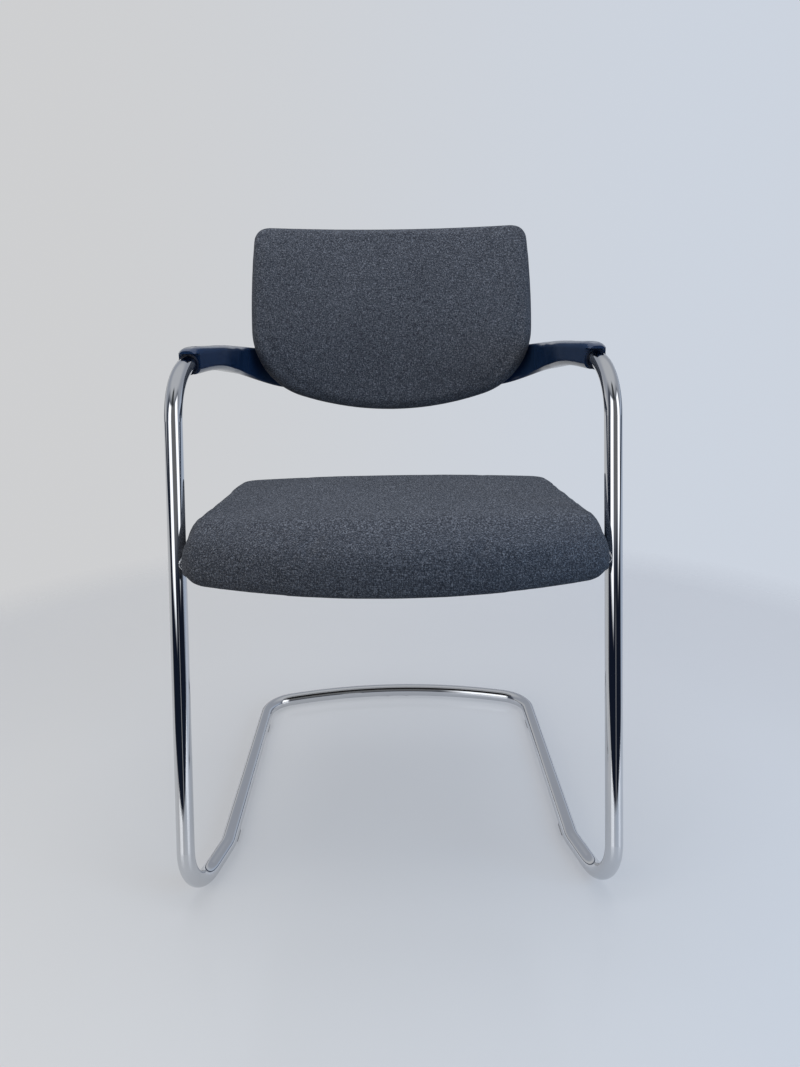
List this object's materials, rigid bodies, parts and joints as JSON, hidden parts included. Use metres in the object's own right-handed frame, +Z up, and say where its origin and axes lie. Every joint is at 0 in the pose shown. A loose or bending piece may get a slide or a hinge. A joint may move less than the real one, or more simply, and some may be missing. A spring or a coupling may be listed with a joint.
{
  "type": "cantilever armchair",
  "caption": "Armchair on a bent chromed tube cantilever frame, with a dark upholstered seat and a padded back whose moulded black shell runs into two arms.",
  "frame": {"origin": "on the floor, under the middle of the chair's width and depth", "axes": "+X is to the right seen from the front, +Y runs from the front to the back, +Z is up"},
  "size_m": [0.558, 0.5754, 0.8496],
  "materials": {
    "chrome": "polished chrome plate",
    "zinc_steel": "bright zinc",
    "black_steel": "black powder coat",
    "black_plastic": "satin",
    "shell_plastic": "semi-gloss",
    "plywood": "raw beech ply",
    "foam": "open-cell foam",
    "fabric": "woven wool mix",
    "lining": "non-woven felt"
  },
  "bodies": {
    "root": {"frame_tube_right": "chrome", "frame_tube_left": "chrome", "frame_joint_spigot": "zinc_steel", "frame_joint_rivets": "zinc_steel", "glide_front_right": "black_plastic", "glide_front_left": "black_plastic", "glide_rear_right": "black_plastic", "glide_rear_left": "black_plastic", "seat_cross_tube": "chrome", "seat_bar_right": "black_steel", "seat_bar_left": "black_steel", "seat_rear_strap": "black_steel", "seat_board": "plywood", "seat_foam": "foam", "seat_cover": "fabric", "seat_lining": "lining", "seat_screws": "zinc_steel", "seat_nuts": "zinc_steel", "arm_back_shell": "shell_plastic", "back_board": "plywood", "back_foam": "foam", "back_cover": "fabric", "back_screws": "zinc_steel", "back_nuts": "zinc_steel", "arm_collar_right": "black_plastic", "arm_collar_left": "black_plastic", "arm_screws": "zinc_steel", "arm_nuts": "zinc_steel", "tube_plug_right": "black_plastic", "tube_plug_left": "black_plastic"}
  },
  "joints": []
}
